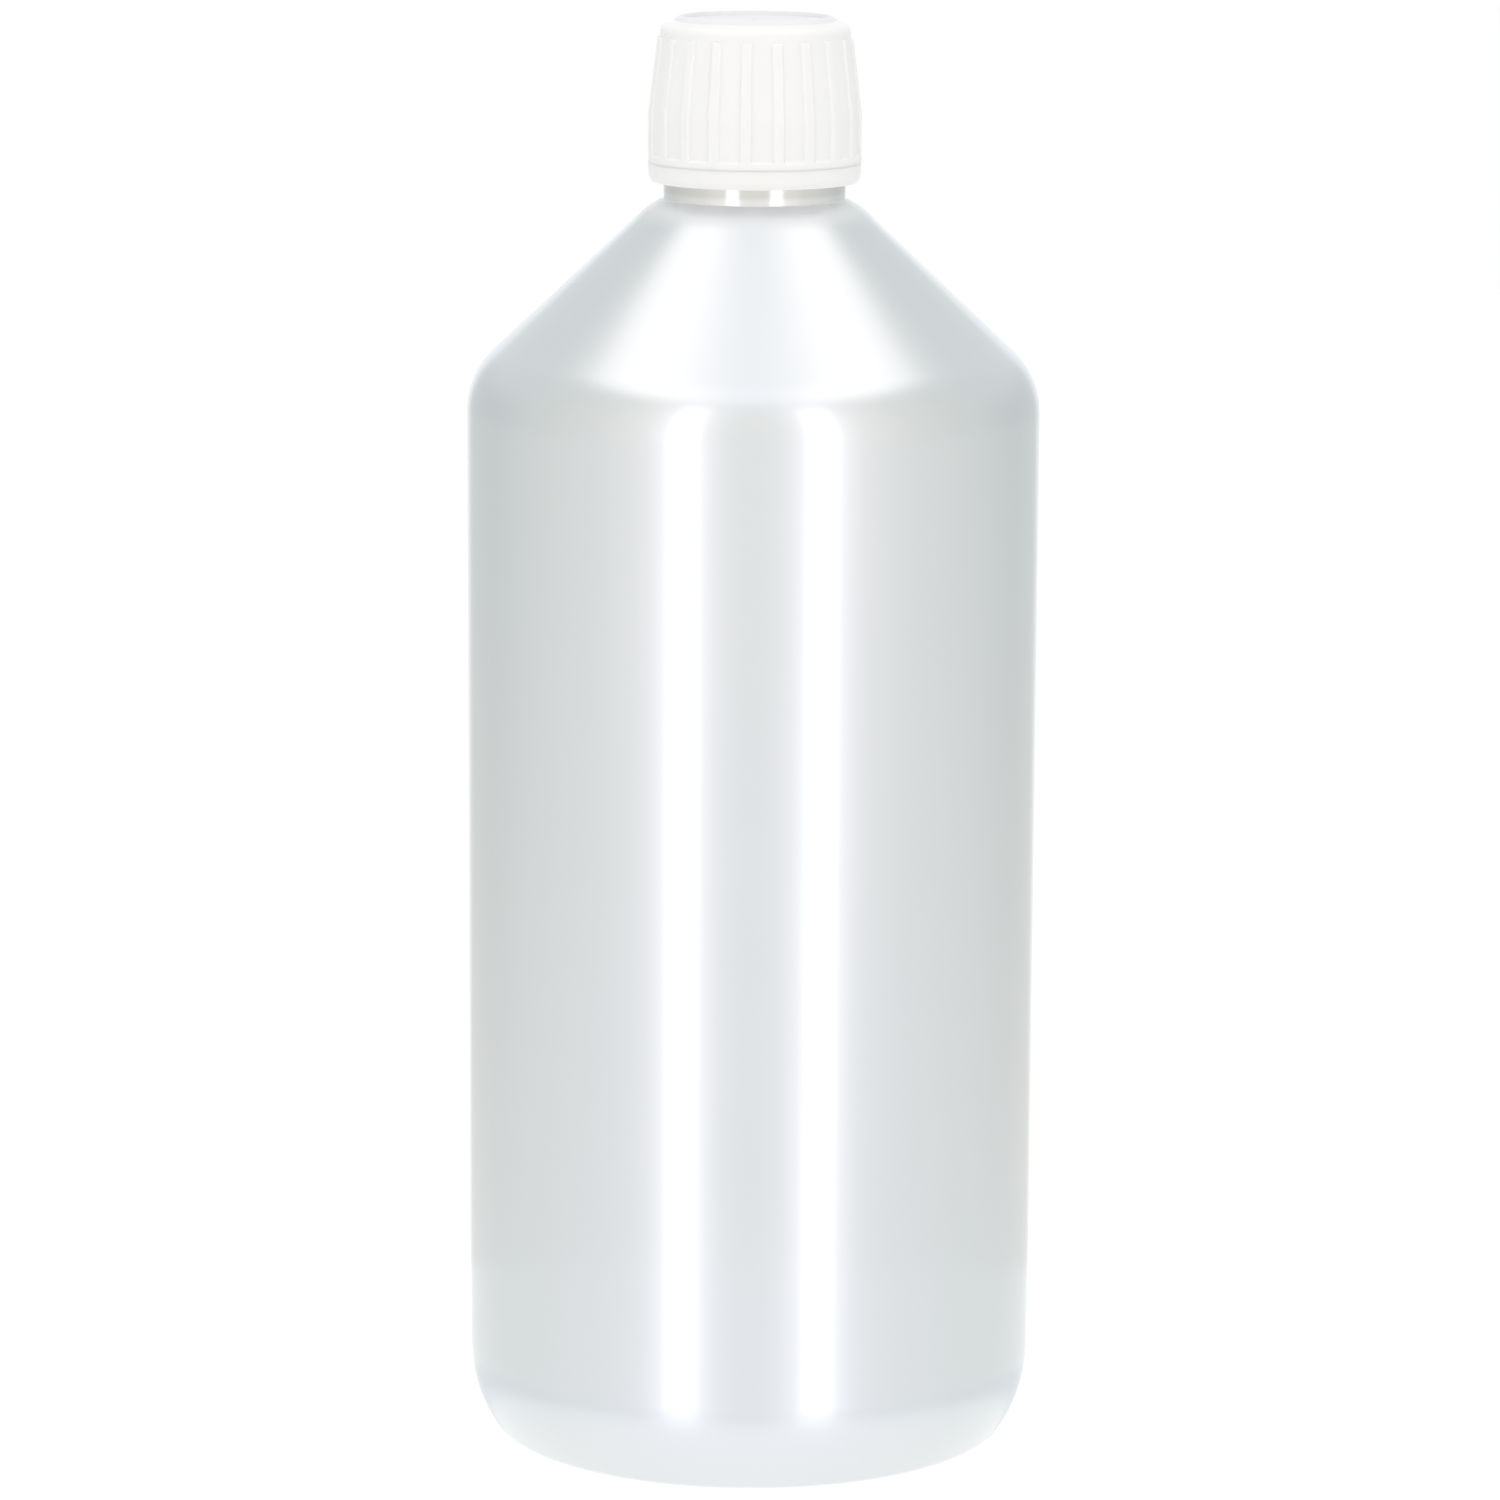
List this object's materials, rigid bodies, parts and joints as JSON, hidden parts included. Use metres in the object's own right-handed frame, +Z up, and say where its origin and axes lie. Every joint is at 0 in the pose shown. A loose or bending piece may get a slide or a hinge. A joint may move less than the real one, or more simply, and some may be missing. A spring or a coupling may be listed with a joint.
{
  "type": "aluminium bottle",
  "caption": "Round aluminium bottle with a conical shoulder and a ribbed white screw cap over a tamper ring, for liquids.",
  "frame": {"origin": "middle of the base, on the plane that the bottle stands on", "axes": "+Z up the bottle's axis towards the cap; -Y is the front of the picture"},
  "size_m": [0.088, 0.088, 0.2206],
  "materials": {
    "shell": "fine satin, clear lacquered aluminium, cool silver grey",
    "closure": "white moulded polypropylene with a soft sheen",
    "liner": "soft white foamed polyethylene"
  },
  "bodies": {
    "bottle": {"bottle": "shell", "tamper_band": "closure"},
    "liner": {"cap_liner": "liner"},
    "cap": {"cap": "closure"}
  },
  "joints": [
    {"name": "cap_lift", "type": "slide", "parent": "bottle", "child": "liner", "axis": [0, 0, 1], "range_m": [0, 0.00556]},
    {"name": "cap_turn", "type": "hinge", "parent": "liner", "child": "cap", "pos_m": [0, 0, 0.21], "axis": [0, 0, 1], "range_deg": [0, 630]}
  ],
  "couplings": [
    {"joint": "cap_lift", "follows": "cap_turn", "m_per_rad": 0.00050611}
  ]
}
